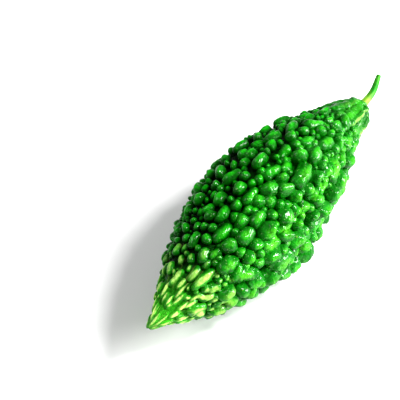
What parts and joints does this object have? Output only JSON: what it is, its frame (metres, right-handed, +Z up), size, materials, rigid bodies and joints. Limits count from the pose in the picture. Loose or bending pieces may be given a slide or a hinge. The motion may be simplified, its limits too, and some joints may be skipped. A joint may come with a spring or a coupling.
{
  "type": "bitter gourd",
  "caption": "Whole green bitter gourd lying down, knobbly and pointed at the tip, with its short stalk still on.",
  "frame": {"origin": "on the resting surface, under the middle of the box of fruit and stalk", "axes": "+X along the fruit from its blossom tip towards its stalk, +Z up"},
  "size_m": [0.188, 0.0552, 0.053],
  "materials": {
    "gourd_skin": "waxy, satin to glossy green skin, near black between the lumps, pale yellow-green at the tip",
    "stalk_green": "matte fibrous yellow-green stalk with a drier cut end"
  },
  "bodies": {
    "root": {"fruit": "gourd_skin", "stalk": "stalk_green"}
  },
  "joints": []
}
